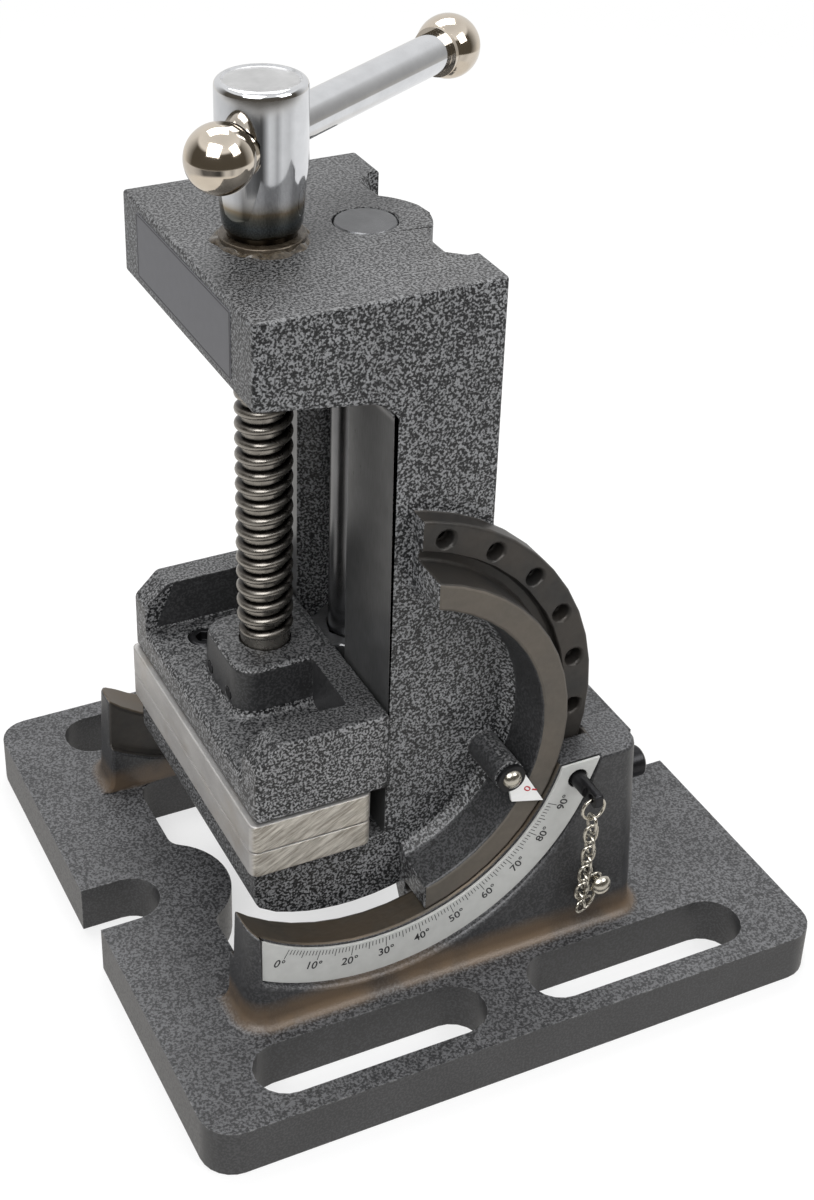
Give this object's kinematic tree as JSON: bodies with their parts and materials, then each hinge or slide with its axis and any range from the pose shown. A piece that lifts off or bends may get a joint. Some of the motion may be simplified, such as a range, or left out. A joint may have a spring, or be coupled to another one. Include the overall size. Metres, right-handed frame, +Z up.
{
  "type": "tilting drill press vise",
  "caption": "Cast vise standing upright in a yoke base; its body tilts about trunnion rings past a degree scale, and a T-bar screw drives the movable jaw.",
  "frame": {"origin": "middle of the base plate's underside, on the surface that the vise stands on", "axes": "+X along the base plate, from the jaws towards the posts with the lock screws; +Y away from the degree scale; +Z up, along the lead screw while the vise body stands upright"},
  "size_m": [0.204, 0.203, 0.279],
  "materials": {
    "hammertone_base": "dark grey hammertone enamel on rough castings, with a machined saddle",
    "hammertone_body": "dark grey hammertone enamel on rough castings, with machined rings and ways",
    "scale_plate": "printed matt sheet",
    "brass_shoe": "turned",
    "bright_zinc": "bright zinc plate",
    "black_oxide": "black oxide, oiled",
    "ground_steel": "ground",
    "polished_rod": "polished",
    "oiled_steel": "cut thread, oiled",
    "white_enamel": "satin enamel",
    "chrome": "polished chrome plate",
    "nickel": "polished nickel plate"
  },
  "bodies": {
    "base": {"base_casting": "hammertone_base", "degree_scale": "scale_plate", "clamp_shoe_near": "brass_shoe", "clamp_shoe_far": "brass_shoe", "chain_screw": "bright_zinc", "chain_link_01": "bright_zinc", "chain_link_02": "bright_zinc", "chain_link_03": "bright_zinc", "chain_link_04": "bright_zinc", "chain_link_05": "bright_zinc", "chain_link_06": "bright_zinc", "chain_link_07": "bright_zinc", "chain_link_08": "bright_zinc", "chain_link_09": "bright_zinc", "chain_link_10": "bright_zinc", "chain_link_11": "bright_zinc", "chain_link_12": "bright_zinc"},
    "vise_body": {"vise_body": "hammertone_body", "guide_rod": "polished_rod", "fixed_jaw_plate": "ground_steel", "fixed_jaw_screw_near": "black_oxide", "fixed_jaw_screw_far": "black_oxide", "angle_pointer": "white_enamel", "pointer_screw": "bright_zinc"},
    "movable_jaw": {"movable_jaw": "hammertone_body", "movable_jaw_plate": "ground_steel", "movable_jaw_screw_near": "black_oxide", "movable_jaw_screw_far": "black_oxide", "screw_retaining_pin_near": "black_oxide", "screw_retaining_pin_far": "black_oxide"},
    "lead_screw": {"lead_screw": "oiled_steel", "thrust_washer": "black_oxide", "screw_head": "chrome"},
    "handle": {"handle_bar": "chrome", "handle_ball_near": "nickel", "handle_ball_far": "nickel"},
    "index_pin": {"index_pin": "black_oxide", "pin_ring": "bright_zinc"},
    "lock_screw_near": {"lock_screw_near": "black_oxide"},
    "lock_screw_far": {"lock_screw_far": "black_oxide"}
  },
  "joints": [
    {"name": "vise_tilt", "type": "hinge", "parent": "base", "child": "vise_body", "pos_m": [-0.034, 0, 0.0966], "axis": [0, 1, 0], "range_deg": [0, 90]},
    {"name": "jaw_slide", "type": "slide", "parent": "vise_body", "child": "movable_jaw", "axis": [0, 0, 1], "range_m": [0, 0.0901]},
    {"name": "screw_turn", "type": "hinge", "parent": "movable_jaw", "child": "lead_screw", "pos_m": [-0.0422, 0, 0.0966], "axis": [0, 0, 1], "range_deg": [0, 6480]},
    {"name": "handle_slide", "type": "slide", "parent": "lead_screw", "child": "handle", "axis": [-0.8625, -0.506, 0], "range_m": [0, 0.0735]},
    {"name": "pin_slide", "type": "slide", "parent": "base", "child": "index_pin", "axis": [0, -1, 0], "range_m": [-0.0055, 0.03], "deforming": ["chain_link_01", "chain_link_02", "chain_link_03", "chain_link_04", "chain_link_05", "chain_link_06", "chain_link_07", "chain_link_08", "chain_link_09", "chain_link_10", "chain_link_11", "chain_link_12"]},
    {"name": "lock_screw_near_turn", "type": "hinge", "parent": "base", "child": "lock_screw_near", "pos_m": [0.0527, -0.053, 0.0616], "axis": [1, 0, 0], "range_deg": [0, 180]},
    {"name": "lock_screw_far_turn", "type": "hinge", "parent": "base", "child": "lock_screw_far", "pos_m": [0.0527, 0.053, 0.0616], "axis": [1, 0, 0], "range_deg": [0, 180]}
  ],
  "couplings": [
    {"joint": "jaw_slide", "follows": "screw_turn", "m_per_rad": 0.00079577}
  ]
}
